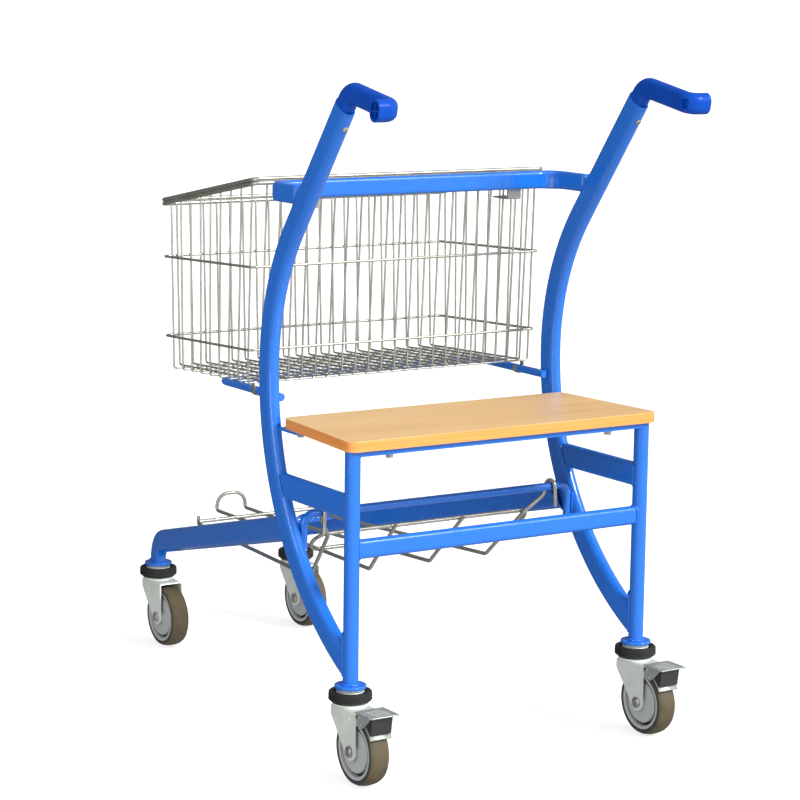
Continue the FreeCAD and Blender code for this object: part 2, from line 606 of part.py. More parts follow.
def ring_part(name, half, rear, front, level, slope, diameter, corner):
    """Closed wire ring with rounded corners, tilted about the cart's X axis."""
    turned = at(0, rear, level, FreeCAD.Rotation(V(1, 0, 0), -math.degrees(slope)))
    body = new_body(name, basket_frame.multiply(turned))
    length = (front - rear) / math.cos(slope)
    path = new_sketch(body, f"{name}_path")
    r = size(corner)
    z = V(0, 0, 1)
    pieces = [Part.LineSegment(V(0, 0, 0), V(half - r, 0, 0)),
              Part.ArcOfCircle(Part.Circle(V(half - r, r, 0), z, r), -math.pi / 2, 0),
              Part.LineSegment(V(half, r, 0), V(half, length - r, 0)),
              Part.ArcOfCircle(Part.Circle(V(half - r, length - r, 0), z, r), 0, math.pi / 2),
              Part.LineSegment(V(half - r, length, 0), V(r - half, length, 0)),
              Part.ArcOfCircle(Part.Circle(V(r - half, length - r, 0), z, r), math.pi / 2, math.pi),
              Part.LineSegment(V(-half, length - r, 0), V(-half, r, 0)),
              Part.ArcOfCircle(Part.Circle(V(r - half, r, 0), z, r), math.pi, 1.5 * math.pi),
              Part.LineSegment(V(r - half, 0, 0), V(0, 0, 0))]
    for piece in pieces:
        path.addGeometry(piece, False)
    for k in (1, 3, 5, 7):
        limit(path, Sketcher.Constraint("Radius", k, r), f"Sizes.{corner}")
    section = new_sketch(body, f"{name}_section", "YZ_Plane")
    draw_circle(section, 0, 0, size(diameter) / 2, f"Sizes.{diameter} / 2")
    sweep(body, f"{name}_sweep", section, path)
    return body


ring_part("basket_rim", rim_half, rim_rear, rim_front, size("basket_top"), rim_slope, "rim_wire",
          "basket_corner")
band_offset = size("wall_wire") / 2 + size("band_wire") / 2 + 0.01
for name, level in (("basket_upper_band", size("upper_band")), ("basket_lower_band", size("lower_band"))):
    ring_part(name, wall_half + band_offset, wall_rear_at(level) - band_offset - 0.06, wall_front + band_offset,
              level, 0, "band_wire", "band_corner")

top_drop = (size("rim_wire") + 0.1) / math.cos(rim_slope)
floor_x = size("floor_level")
floor_y = floor_x + size("floor_gap")


def wire_row(name, direction, centre, low, top):
    """Row of upright wires across the basket, bent into the floor."""
    body = new_body(name)
    bend = size("floor_bend")
    path = new_sketch(body, f"{name}_path", "YZ_Plane", at(0, 0, -rear_half_span))
    draw_path(path, [(centre, top), (low, floor_y), (low - direction * bend, floor_y)],
              [bend - 0.001], "Sizes.floor_bend - 0.001")
    section = new_sketch(body, f"{name}_section", "XY_Plane", at(-rear_half_span, centre, top))
    draw_circle(section, 0, 0, size("wall_wire") / 2, "Sizes.wall_wire / 2")
    upright = sweep(body, f"{name}_upright", section, path)
    pattern = body.newObject("PartDesign::LinearPattern", f"{name}_row")
    pattern.Originals = [upright]
    pattern.Direction = (origin_item(body, "X_Axis"), [""])
    bind(pattern, Length="Sizes.rear_span", Occurrences="Sizes.rear_wires")
    body.Tip = pattern
    return body


rear_half_span = size("rear_span") / 2
corner = size("basket_corner")


def tie_wire(points, radii):
    return round_wire("", points, radii, "rim_wire", keep=False)


def side_upright(sign, share):
    """One upright of a side wall; the row fans out from the floor to the rim."""
    x, bend = sign * wall_half, size("floor_bend")
    high = size("side_first") + (size("side_last") - size("side_first")) * share
    low = size("side_first_low") + (size("side_last_low") - size("side_first_low")) * share
    points = [(x, high, rim_level(high) - top_drop), (x, low, floor_x), (x - sign * bend, low, floor_x)]
    return round_wire("", points, [bend - 0.001], "wall_wire", keep=False)


walls = [("rear", 1, wall_rear, wall_low_rear, rim_rear), ("front", -1, wall_front, wall_front, rim_front)]
for name, toward, centre, low, rim_y in walls:
    top = rim_level(rim_y) - top_drop
    row = wire_row(f"basket_{name}_row", -toward, centre, low, top)
    doc.recompute()
    tie = tie_wire([(corner - rim_half, rim_y, top), (rim_half - corner, rim_y, top)], [])
    parts.remove(row)
    feature_from(f"basket_wall_{name}", row.Shape.copy().fuse(tie), basket_frame)

for sign in (-1, 1):
    x = sign * rim_half
    inner = sign * (rim_half - corner)
    rear_top, front_top = rim_level(rim_rear) - top_drop, rim_level(rim_front) - top_drop
    panel = tie_wire([(inner, rim_rear, rear_top), (x, rim_rear, rear_top), (x, rim_front, front_top),
                      (inner, rim_front, front_top)], [corner - 0.01, corner - 0.01])
    last = round(size("side_wires")) - 1
    for k in range(last + 1):
        panel = panel.fuse(side_upright(sign, k / last))
    feature_from(f"basket_wall_{side_of(sign)}", panel, basket_frame)

floor = new_body("basket_floor", basket_frame)
wire = size("wall_wire") / 2
bend = size("floor_bend")
x_end = wall_half - bend
y_rear, y_front = wall_low_rear + bend + 0.3, wall_front - bend
cross = new_sketch(floor, "floor_cross_section", "YZ_Plane")
draw_circle(cross, size("side_first_low"), floor_x, wire, "Sizes.wall_wire / 2")
cross_pad = pad(floor, "floor_cross_wire", cross, str(2 * x_end), symmetric=True)
cross_row = floor.newObject("PartDesign::LinearPattern", "floor_cross_row")
cross_row.Originals = [cross_pad]
cross_row.Direction = (origin_item(floor, "Y_Axis"), [""])
bind(cross_row, Length="Sizes.side_last_low - Sizes.side_first_low", Occurrences="Sizes.side_wires")
floor.Tip = cross_row
along = new_sketch(floor, "floor_long_section", "XZ_Plane", at(0, 0, -y_rear))
draw_circle(along, -rear_half_span, floor_y, wire, "Sizes.wall_wire / 2")
along_pad = pad(floor, "floor_long_wire", along, str(y_front - y_rear), reverse=True)
along_row = floor.newObject("PartDesign::LinearPattern", "floor_long_row")
along_row.Originals = [along_pad]
along_row.Direction = (origin_item(floor, "X_Axis"), [""])
bind(along_row, Length="Sizes.rear_span", Occurrences="Sizes.rear_wires")
floor.Tip = along_row

clips = []
bar_bottom = size("bar_level") - size("bar_height") / 2
clip_level = bar_bottom - 12
clip_reach = basket_frame.multVec(V(0, wall_rear_at(clip_level), clip_level)).y - size("wall_wire") / 2
for sign in (-1, 1):
    outline = [(236, bar_bottom), (238.4, bar_bottom), (238.4, bar_bottom - 12.6),
               (clip_reach, bar_bottom - 12.6), (clip_reach, bar_bottom - 15), (236, bar_bottom - 15)]
    corners = [V(sign * 177 - 12, y, z) for y, z in outline]
    clips.append(Part.Face(Part.makePolygon(corners + corners[:1])).extrude(V(24, 0, 0)))
feature_from("basket_bar_clips", Part.makeCompound(clips))

straps = []
for sign in (-1, 1):
    base = V(sign * size("rod_half"), 292, size("rod_level"))
    strap = Part.makeCylinder(7.6, 9, base, V(0, 1, 0)).cut(
        Part.makeCylinder(size("rod_diameter") / 2, 9, base, V(0, 1, 0)))
    strap = strap.cut(Part.makeBox(40, 20, 20, base + V(-20, -5, 4.5)))
    upstand = Part.makeBox(1.6, 9, 10.6, base + V(6 if sign > 0 else -7.6, 0, 0))
    straps.append(strap.fuse(upstand))
feature_from("basket_rod_straps", Part.makeCompound(straps))

# ---------------------------------------------------------------- lower wire rack
rail_y, rail_z = size("hanger_forward"), size("hanger_level")
ring = size("rod_diameter") / 2 + size("rack_wire") / 2 + size("hook_gap")
foot = V(0, 267, 224)
slope_top = V(0, 190, 303)
climb = (slope_top - foot).normalize()
off_slope = V(0, climb.z, -climb.y)
for sign in (-1, 1):
    hooked = [(sign * 205, rail_y - ring, 316), (sign * 203, rail_y - ring, rail_z + ring),
              (sign * 201, rail_y + ring, rail_z + ring), (sign * 197, rail_y + ring, 332),
              (sign * 174, slope_top.y, slope_top.z), (sign * 158, foot.y, foot.z),
              (sign * 107, 716, 214.3), (sign * 106.5, 717.5, 227)]
    round_wire(f"rack_outer_wire_{side_of(sign)}", hooked, [ring - 0.05, ring - 0.05, 12, 18, 8, 4.5],
               "rack_wire")

loop = []
for sign in (-1, 1):
    half = [(sign * 60, 186, 307.2), (sign * 54.2, foot.y, foot.z), (sign * 27, 700, 214.2),
            (sign * 27, 800, 213.4), (sign * 27, 800.5, 241)]
    loop.append(half)
points = loop[0] + loop[1][::-1]
round_wire("rack_inner_wire", points, [8, 60, 6, 20.5, 20.5, 6, 60, 8], "rack_wire")

back = new_body("rack_back_loop")
spacing = 40
centre = foot + climb * 87 + off_slope * size("rack_wire")
back.Placement = FreeCAD.Placement(centre, facing(off_slope, climb))
path = new_sketch(back, "back_path")
radius, reach = spacing / 2, 169
z = V(0, 0, 1)
for piece in (Part.LineSegment(V(0, -radius, 0), V(reach, -radius, 0)),
              Part.ArcOfCircle(Part.Circle(V(reach, 0, 0), z, radius), -math.pi / 2, math.pi / 2),
              Part.LineSegment(V(reach, radius, 0), V(-reach, radius, 0)),
              Part.ArcOfCircle(Part.Circle(V(-reach, 0, 0), z, radius), math.pi / 2, 1.5 * math.pi),
              Part.LineSegment(V(-reach, -radius, 0), V(0, -radius, 0))):
    path.addGeometry(piece, False)
section = new_sketch(back, "back_section", "YZ_Plane")
draw_circle(section, -radius, 0, size("rack_wire") / 2, "Sizes.rack_wire / 2")
sweep(back, "back_sweep", section, path)

run_level = 224 + (214.3 - 224) * (706 - 267) / (716 - 267)
front_wire = doc.addObject("Part::Cylinder", "rack_front_wire")
front_wire.Height = 224
bind(front_wire, Radius="Sizes.rack_wire / 2")
front_wire.Placement = at(-112, 706, run_level + size("rack_wire"), FreeCAD.Rotation(V(0, 1, 0), 90))
parts.append(front_wire)

# ---------------------------------------------------------------- casters
STATIONS = [(f"{end}_{side_of(sign)}", sign * size(f"{key}_half"), forward, end == "rear")
            for end, key, forward in (("rear", "frame", 0.0), ("front", "front", size("front_forward")))
            for sign in (-1, 1)]


def revolved(name, outline, placement):
    """Body turned about Z from a closed outline of (radius, height) points."""
    body = new_body(name, placement)
    sketch = new_sketch(body, f"{name}_outline", "XZ_Plane")
    draw_polygon(sketch, outline)
    feature = body.newObject("PartDesign::Revolution", f"{name}_turn")
    feature.Profile = sketch
    feature.ReferenceAxis = (sketch, ["V_Axis"])
    feature.Angle = 360
    body.Tip = feature
    return body


def repeated(name, make):
    """One node holding the same fixed piece at every caster."""
    solids = []
    for _, x, y, _ in STATIONS:
        solid = make()
        solid.translate(V(x, y, 0))
        solids.append(solid)
    return feature_from(name, Part.makeCompound(solids))


def caster_plate():
    bottom = size("leg_bottom") - size("plate_thickness")
    disc = Part.makeCylinder(size("plate_diameter") / 2, size("plate_thickness"), V(0, 0, bottom))
    rims = [edge for edge in disc.Edges if len(edge.Vertexes) == 1]
    return disc.makeFillet(1.2, rims)


def caster_collar():
    top = size("leg_bottom") - size("plate_thickness")
    low = size("bumper_bottom") + 0.2
    solid = Part.makeCylinder(size("collar_diameter") / 2, top - 4 - low, V(0, 0, low))
    solid = solid.fuse(Part.makeCylinder(15, 4, V(0, 0, top - 4)))
    bore = Part.makeCylinder(size("pin_diameter") / 2 + size("running_gap"), top - 3 - low, V(0, 0, low))
    return solid.cut(bore)


def caster_bumper():
    outer = size("bumper_diameter") / 2
    bore = size("collar_diameter") / 2
    low, high = size("bumper_bottom"), size("bumper_bottom") + size("bumper_height")
    outline = [(bore, low), (outer - 4.5, low), (outer, low + 4), (outer, high - 1.5), (outer - 1.5, high),
               (outer - 7, high), (outer - 8, high - 2.5), (bore, high - 2.5)]
    corners = [V(radius, 0, level) for radius, level in outline]
    return Part.Face(Part.makePolygon(corners + corners[:1])).revolve(V(0, 0, 0), V(0, 0, 1), 360)


repeated("caster_plates", caster_plate)
repeated("caster_collars", caster_collar)
repeated("caster_bumpers", caster_bumper)

axle_y, axle_z = -size("trail"), size("wheel_diameter") / 2


def make_fork(name, x, y, braked):
    body = new_body(f"fork_{name}", at(x, y, 0))
    outline = new_sketch(body, f"fork_outline_{name}", "YZ_Plane")
    crown = size("crown_top")
    radius = 12.5
    shoulder = V(18, 93, 0)
    centre = V(axle_y, axle_z, 0)
    arm = shoulder - centre
    angle = math.atan2(arm.y, arm.x) - math.acos(radius / arm.Length)
    tangent = centre + V(radius * math.cos(angle), radius * math.sin(angle), 0)
    low = Part.ArcOfCircle(Part.Circle(centre, V(0, 0, 1), radius), math.pi, 2 * math.pi + angle)
    rear = axle_y - radius
    for piece in (Part.LineSegment(V(rear, crown, 0), V(rear, axle_z, 0)), low,
                  Part.LineSegment(tangent, shoulder),
                  Part.LineSegment(shoulder, V(18, crown, 0)), Part.LineSegment(V(18, crown, 0), V(rear, crown, 0))):
        outline.addGeometry(piece, False)
    blank = pad(body, f"fork_blank_{name}", outline, "Sizes.fork_inside + 2 * Sizes.fork_sheet",
                symmetric=True)
    doc.recompute()
    outside = size("fork_inside") / 2 + size("fork_sheet")
    edges = [f"Edge{k + 1}" for k, edge in enumerate(blank.Shape.Edges)
             if all(abs(v.Z - crown) < 0.01 and abs(abs(v.X) - outside) < 0.01 for v in edge.Vertexes)]
    shoulder_round = body.newObject("PartDesign::Fillet", f"fork_shoulders_{name}")
    shoulder_round.Base = (blank, edges)
    shoulder_round.Radius = 4.5
    body.Tip = shoulder_round
    gap = size("fork_inside") / 2
    ceiling = crown - size("fork_sheet")
    cut_through(body, f"fork_opening_{name}", "XZ_Plane",
                [(-gap, 0), (gap, 0), (gap, ceiling), (-gap, ceiling)])
    cut_through(body, f"fork_axle_hole_{name}", "YZ_Plane",
                circles=[(axle_y, axle_z, size("axle_diameter") / 2, "Sizes.axle_diameter / 2")])
    race = new_sketch(body, f"raceway_{name}", "XY_Plane", at(0, 0, crown))
    draw_circle(race, 0, 0, size("raceway_diameter") / 2, "Sizes.raceway_diameter / 2")
    pad(body, f"raceway_pad_{name}", race, "Sizes.raceway_top - Sizes.crown_top")
    pin = new_sketch(body, f"king_pin_{name}", "XY_Plane", at(0, 0, crown))
    draw_circle(pin, 0, 0, size("pin_diameter") / 2, "Sizes.pin_diameter / 2")
    pad(body, f"king_pin_pad_{name}", pin, "19.5")
    if braked:
        for side in (-1, 1):
            inner = size("fork_inside") / 2 - size("ear_sheet") - 0.3
            stub = new_sketch(body, f"rivet_{name}_{side}", "YZ_Plane", at(0, 0, side * inner))
            draw_circle(stub, -size("pivot_rear"), size("pivot_level"), size("rivet_diameter") / 2,
                        "Sizes.rivet_diameter / 2")
            pad(body, f"rivet_pad_{name}_{side}", stub, "Sizes.ear_sheet + Sizes.fork_sheet + 1.5",
                reverse=side < 0)
    return body


def make_axle(name, x, y):
    reach = size("fork_inside") / 2 + size("fork_sheet")
    outline = [(0, -reach - 4), (6.2, -reach - 4), (8.2, -reach - 2.4), (8.2, -reach), (4, -reach), (4, reach),
               (8.2, reach), (8.2, reach + 2.4), (6.2, reach + 4), (0, reach + 4)]
    turned = FreeCAD.Rotation(V(0, 1, 0), 90)
    return revolved(f"axle_{name}", outline, at(x, y + axle_y, axle_z, turned))


def make_hub(name, x, y):
    bore = size("axle_diameter") / 2 + size("running_gap")
    rim = size("tyre_inner") / 2
    half = size("hub_width") / 2
    side = [(bore, 18.2), (10, 18.2), (11, half - 1), (30.5, half - 1), (31.5, half - 2.5), (31.5, 5),
            (36, 5), (36.5, half - 0.5), (rim, half)]
    outline = side + [(radius, -level) for radius, level in side[::-1]]
    turned = FreeCAD.Rotation(V(0, 1, 0), 90)
    return revolved(f"hub_{name}", outline, at(x, y + axle_y, axle_z, turned))


def make_tyre(name, x, y):
    rim = size("tyre_inner") / 2
    half = size("tyre_width") / 2
    crown = size("wheel_diameter") / 2
    side = [(rim, half - 1.5), (crown - 6.5, half), (crown - 3.2, half - 1.6), (crown - 1.2, half - 5.4),
            (crown - 0.3, half - 10), (crown, half - 14)]
    outline = side + [(radius, -level) for radius, level in side[::-1]]
    turned = FreeCAD.Rotation(V(0, 1, 0), 90)
    return revolved(f"tyre_{name}", outline, at(x, y + axle_y, axle_z, turned))


def make_pedal(name, x, y):
    """Pressed pedal plate with two folded ears that swing on the fork's rivets."""
    body = new_body(f"brake_pedal_{name}", at(x, y, 0))
    plate = new_sketch(body, f"pedal_outline_{name}", "XY_Plane", at(0, 0, size("pedal_level")))
    half = size("pedal_width") / 2
    front, rear = -size("pedal_front"), -size("pedal_rear")
    draw_polygon(plate, [(-half, front), (-half, rear + 4), (4 - half, rear), (half - 4, rear), (half, rear + 4),
                         (half, front)])
    pad(body, f"pedal_plate_{name}", plate, "Sizes.pedal_sheet")
    under = size("pedal_level")
    ear = [(-25, 100.2), (-49, 100.2), (-50, under + 1), (-86, under + 1), (-73, 98), (-62, 89.5),
           (-36, 90), (-25, 92)]
    outer = size("fork_inside") / 2 - 0.3
    for side in (-1, 1):
        offset = outer if side > 0 else -outer
        sketch = new_sketch(body, f"ear_{name}_{side}", "YZ_Plane", at(0, 0, offset))
        draw_polygon(sketch, ear)
        draw_circle(sketch, -size("pivot_rear"), size("pivot_level"),
                    size("rivet_diameter") / 2 + size("running_gap"),
                    "Sizes.rivet_diameter / 2 + Sizes.running_gap")
        pad(body, f"ear_pad_{name}_{side}", sketch, "Sizes.ear_sheet", reverse=side > 0)
    return body


def make_shoe(name, x, y):
    """Moulded brake shoe under the pedal, hollowed to follow the tyre."""
    body = new_body(f"brake_shoe_{name}", at(x, y, 0))
    block = new_sketch(body, f"shoe_outline_{name}", "YZ_Plane")
    draw_polygon(block, [(-53, 84), (-53, size("pedal_level")), (-86, size("pedal_level")), (-82, 84)])
    pad(body, f"shoe_pad_{name}", block, "Sizes.shoe_width", symmetric=True)
    clear = size("wheel_diameter") / 2 + 3.6
    cut_through(body, f"shoe_curve_{name}", "YZ_Plane",
                circles=[(axle_y, axle_z, clear, "Sizes.wheel_diameter / 2 + 3.6")])
    return body


for name, x, y, braked in STATIONS:
    make_fork(name, x, y, braked)
    make_axle(name, x, y)
    make_hub(name, x, y)
    make_tyre(name, x, y)
    if braked:
        make_pedal(name, x, y)
        make_shoe(name, x, y)

# ---------------------------------------------------------------- check and export
doc.recompute()
problems = [item.Name for item in doc.Objects if {"Invalid", "Error"} & set(item.State)]
for part in parts:
    shape = part.Shape
    if shape.isNull() or not shape.isValid() or not shape.Solids:
        problems.append(part.Label)
if problems:
    raise SystemExit(f"broken: {problems}")
for part in parts:
    part.Shape.exportStep(f"parts/{part.Label}.step")
    box = part.Shape.BoundBox
    print(part.Label, len(part.Shape.Solids), round(part.Shape.Volume),
          [round(v, 1) for v in (box.XMin, box.XMax, box.YMin, box.YMax, box.ZMin, box.ZMax)])
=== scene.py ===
import json
import math
import random

import bmesh
import bpy
from mathutils import Matrix, Vector


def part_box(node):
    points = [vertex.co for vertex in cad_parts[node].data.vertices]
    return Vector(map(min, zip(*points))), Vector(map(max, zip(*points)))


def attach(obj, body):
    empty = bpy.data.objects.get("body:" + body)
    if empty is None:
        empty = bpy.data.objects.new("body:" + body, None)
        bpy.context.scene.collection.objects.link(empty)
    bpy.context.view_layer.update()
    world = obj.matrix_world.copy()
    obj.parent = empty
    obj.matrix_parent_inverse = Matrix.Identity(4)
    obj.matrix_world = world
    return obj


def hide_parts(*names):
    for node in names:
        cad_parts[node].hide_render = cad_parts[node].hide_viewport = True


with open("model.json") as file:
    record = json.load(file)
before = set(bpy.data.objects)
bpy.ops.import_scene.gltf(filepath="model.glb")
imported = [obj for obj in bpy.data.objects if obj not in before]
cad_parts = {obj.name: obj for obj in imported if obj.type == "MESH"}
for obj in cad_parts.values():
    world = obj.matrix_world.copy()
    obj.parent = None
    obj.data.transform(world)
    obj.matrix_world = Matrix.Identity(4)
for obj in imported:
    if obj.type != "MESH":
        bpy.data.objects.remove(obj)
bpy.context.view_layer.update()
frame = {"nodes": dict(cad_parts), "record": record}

scene = bpy.context.scene
nodes = frame["nodes"]
record = frame["record"]
CASTERS = {"rear_left": True, "rear_right": True, "front_left": False, "front_right": False}
SIDES = {"left": -1, "right": 1}


# ---------------------------------------------------------------- material helpers
def new_material(name):
    material = bpy.data.materials.new(name)
    material.use_nodes = True
    tree = material.node_tree
    shader = tree.nodes["Principled BSDF"]
    return material, tree, shader


def add_node(tree, kind, inputs=None, **settings):
    node = tree.nodes.new(f"ShaderNode{kind}")
    for key, value in settings.items():
        setattr(node, key, value)
    for key, value in (inputs or {}).items():
        node.inputs[key].default_value = value
    return node


def coordinates(tree, stretch=(1, 1, 1)):
    """Object coordinates, which are the cart's own metres, stretched per axis."""
    source = add_node(tree, "TexCoord")
    mapping = add_node(tree, "Mapping", {"Scale": stretch})
    tree.links.new(source.outputs["Object"], mapping.inputs["Vector"])
    return mapping.outputs["Vector"]


def noise(tree, vector, scale, detail=3.0, roughness=0.55):
    node = add_node(tree, "TexNoise", {"Scale": scale, "Detail": detail, "Roughness": roughness})
    tree.links.new(vector, node.inputs["Vector"])
    return node.outputs["Fac"]


def ramp(tree, value, stops):
    """Colour ramp through (position, colour) stops."""
    node = add_node(tree, "ValToRGB")
    elements = node.color_ramp.elements
    while len(elements) < len(stops):
        elements.new(0.5)
    for element, (position, colour) in zip(elements, stops):
        element.position = position
        element.color = (*colour, 1.0)
    tree.links.new(value, node.inputs["Fac"])
    return node.outputs["Color"]


def spread(tree, value, low, high, from_low=0.0, from_high=1.0):
    """Maps a value from one range onto another."""
    node = add_node(tree, "MapRange", {"From Min": from_low, "From Max": from_high,
                                       "To Min": low, "To Max": high})
    tree.links.new(value, node.inputs["Value"])
    return node.outputs["Result"]


def bump(tree, shader, height, distance, strength=1.0):
    node = add_node(tree, "Bump", {"Distance": distance, "Strength": strength})
    tree.links.new(height, node.inputs["Height"])
    tree.links.new(node.outputs["Normal"], shader.inputs["Normal"])
    return node


def painted(name, colour, deep):
    """Glossy powder coat: fine orange peel, slow shifts of tone, scuffed sheen."""
    material, tree, shader = new_material(name)
    vector = coordinates(tree)
    tone = ramp(tree, noise(tree, vector, 7, 3), [(0.3, deep), (0.7, colour)])
    tree.links.new(tone, shader.inputs["Base Color"])
    scuffs = noise(tree, vector, 60, 5, 0.7)
    tree.links.new(spread(tree, scuffs, 0.22, 0.34, 0.35, 0.75), shader.inputs["Roughness"])
    shader.inputs["Coat Weight"].default_value = 0.3
    shader.inputs["Coat Roughness"].default_value = 0.08
    shader.inputs["IOR"].default_value = 1.5
    bump(tree, shader, noise(tree, vector, 700, 2), 0.00006, 0.2)
    return material


def zinc(name, light, dark, rough=(0.28, 0.46), grain=160, metal=0.9):
    """Zinc plate: cloudy spangle with darker passivated patches."""
    material, tree, shader = new_material(name)
    vector = coordinates(tree)
    patches = noise(tree, vector, 34, 4, 0.6)
    tree.links.new(ramp(tree, patches, [(0.32, dark), (0.62, light)]), shader.inputs["Base Color"])
    shader.inputs["Metallic"].default_value = metal
    fine = noise(tree, vector, grain, 3, 0.6)
    tree.links.new(spread(tree, fine, *rough, 0.3, 0.7), shader.inputs["Roughness"])
    bump(tree, shader, fine, 0.00005, 0.15)
    return material


def moulded(name, colour, dark, rough=(0.4, 0.55), specular=0.5, grain=1400, scale=18):
    """Moulded plastic or rubber: fine skin texture and slightly uneven colour."""
    material, tree, shader = new_material(name)
    vector = coordinates(tree)
    cloud = noise(tree, vector, scale, 4)
    tree.links.new(ramp(tree, cloud, [(0.3, dark), (0.72, colour)]), shader.inputs["Base Color"])
    tree.links.new(spread(tree, noise(tree, vector, 120, 4), *rough, 0.3, 0.7), shader.inputs["Roughness"])
    shader.inputs["Specular IOR Level"].default_value = specular
    bump(tree, shader, noise(tree, vector, grain, 2), 0.00008, 0.6)
    return material


def facing_share(tree, axis, low, high):
    """How far a surface's own normal lies along one of the object's axes, as a mask."""
    source = add_node(tree, "TexCoord")
    split = add_node(tree, "SeparateXYZ")
    tree.links.new(source.outputs["Normal"], split.inputs["Vector"])
    size = add_node(tree, "Math", operation="ABSOLUTE")
    tree.links.new(split.outputs[axis], size.inputs[0])
    return spread(tree, size.outputs["Value"], 0.0, 1.0, low, high)


def blended(tree, mask, first, second):
    """Colour that goes from first to second as the mask rises."""
    node = add_node(tree, "Mix", data_type="RGBA")
    tree.links.new(mask, node.inputs["Factor"])
    tree.links.new(first, node.inputs["A"])
    tree.links.new(second, node.inputs["B"])
    return node.outputs["Result"]


def wood(name, top, edge):
    """Lacquered beech laminate: long soft grain and short flecks on top, layered orange edges."""
    material, tree, shader = new_material(name)
    grain = noise(tree, coordinates(tree, (1.6, 34, 34)), 2.4, 5, 0.62)
    broad = noise(tree, coordinates(tree, (1.2, 7, 7)), 1.6, 2)
    pale = ramp(tree, grain, top)
    warm = ramp(tree, broad, [(0.35, (0.86, 0.80, 0.74)), (0.7, (1.0, 1.0, 1.0))])
    toned = add_node(tree, "Mix", {"Factor": 0.6}, data_type="RGBA", blend_type="MULTIPLY")
    tree.links.new(pale, toned.inputs["A"])
    tree.links.new(warm, toned.inputs["B"])
    flecks = noise(tree, coordinates(tree, (40, 700, 700)), 1.6, 2)
    fleck_mask = spread(tree, flecks, 0.0, 0.45, 0.62, 0.72)
    flecked = add_node(tree, "Mix", {"B": (0.36, 0.19, 0.08, 1)}, data_type="RGBA")
    tree.links.new(fleck_mask, flecked.inputs["Factor"])
    tree.links.new(toned.outputs["Result"], flecked.inputs["A"])
    layers = noise(tree, coordinates(tree, (3, 3, 420)), 1.7, 3, 0.5)
    sides = ramp(tree, layers, edge)
    colour = blended(tree, facing_share(tree, "Z", 0.55, 0.92), sides, flecked.outputs["Result"])
    tree.links.new(colour, shader.inputs["Base Color"])
    tree.links.new(spread(tree, grain, 0.34, 0.5, 0.3, 0.7), shader.inputs["Roughness"])
    shader.inputs["Coat Weight"].default_value = 0.25
    shader.inputs["Coat Roughness"].default_value = 0.3
    bump(tree, shader, grain, 0.00012, 0.5)
    return material


def tyre(name, tread, wall):
    """Grey-brown tread with dusty wear, and darker rubber on both flanks."""
    material, tree, shader = new_material(name)
    vector = coordinates(tree)
    dust = noise(tree, vector, 55, 5, 0.62)
    worn = ramp(tree, dust, tread)
    flank = ramp(tree, dust, wall)
    colour = blended(tree, facing_share(tree, "X", 0.45, 0.8), worn, flank)
    tree.links.new(colour, shader.inputs["Base Color"])
    tree.links.new(spread(tree, dust, 0.6, 0.85, 0.3, 0.7), shader.inputs["Roughness"])
    bump(tree, shader, noise(tree, vector, 700, 3), 0.00012, 0.6)
    return material


BLUE = painted("blue_powder_coat", (0.005, 0.148, 0.65), (0.004, 0.138, 0.61))
GRIP = moulded("grip_blue_plastic", (0.001, 0.066, 0.44), (0.001, 0.054, 0.37), (0.24, 0.34), 0.15)
ZINC_WIRE = zinc("zinc_wire", (0.44, 0.44, 0.39), (0.35, 0.35, 0.30), (0.26, 0.38), 160, 0.78)
ZINC_SHEET = zinc("zinc_sheet", (0.74, 0.79, 0.74), (0.64, 0.69, 0.64), (0.34, 0.48), 90, 0.2)
ZINC_PEDAL = zinc("zinc_pedal", (0.43, 0.46, 0.44), (0.33, 0.36, 0.34), (0.34, 0.48), 90, 0.5)
BOLT = zinc("bolt_steel", (0.48, 0.47, 0.45), (0.30, 0.29, 0.27), (0.35, 0.5), 300)
HUB = moulded("hub_grey_plastic", (0.43, 0.45, 0.45), (0.40, 0.42, 0.42), (0.38, 0.5))
TYRE = tyre("tyre_rubber", [(0.3, (0.062, 0.046, 0.023)), (0.7, (0.110, 0.082, 0.042))],
            [(0.3, (0.027, 0.026, 0.025)), (0.7, (0.043, 0.042, 0.039))])
BUMPER = moulded("bumper_rubber", (0.018, 0.018, 0.017), (0.011, 0.011, 0.011), (0.4, 0.6), 0.3)
SHOE = moulded("brake_black_plastic", (0.022, 0.022, 0.025), (0.014, 0.014, 0.016), (0.4, 0.6))
WOOD = wood("beech_board",
            [(0.25, (0.72, 0.43, 0.17)), (0.5, (0.80, 0.51, 0.22)), (0.75, (0.84, 0.55, 0.25))],
            [(0.3, (0.72, 0.25, 0.045)), (0.5, (0.82, 0.31, 0.062)), (0.7, (0.88, 0.36, 0.085))])

LOOKS = {"blue_paint": BLUE, "grip_plastic": GRIP, "zinc_wire": ZINC_WIRE, "zinc_sheet": ZINC_SHEET,
         "bolt_steel": BOLT, "hub_plastic": HUB, "tyre_rubber": TYRE, "bumper_rubber": BUMPER,
         "brake_plastic": SHOE, "seat_wood": WOOD}


def dress(obj, material):
    obj.data.materials.clear()
    obj.data.materials.append(material)


for entry in record["subparts"]:
    dress(nodes[entry["node"]], LOOKS[entry["material_slot"]])
for name in ("rear_left", "rear_right"):
    dress(nodes[f"brake_pedal_{name}"], ZINC_PEDAL)

# ---------------------------------------------------------------- mesh helpers
def piece(name, work, material, body, smooth=True):
    """Turns a bmesh into one object of the cart that rides on a CAD body."""
    bmesh.ops.recalc_face_normals(work, faces=work.faces)
    mesh = bpy.data.meshes.new(name)
    work.to_mesh(mesh)
    work.free()
    for polygon in mesh.polygons:
        polygon.use_smooth = smooth
    obj = bpy.data.objects.new(name, mesh)
    scene.collection.objects.link(obj)
    mesh.materials.append(material)
    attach(obj, body)
    return obj


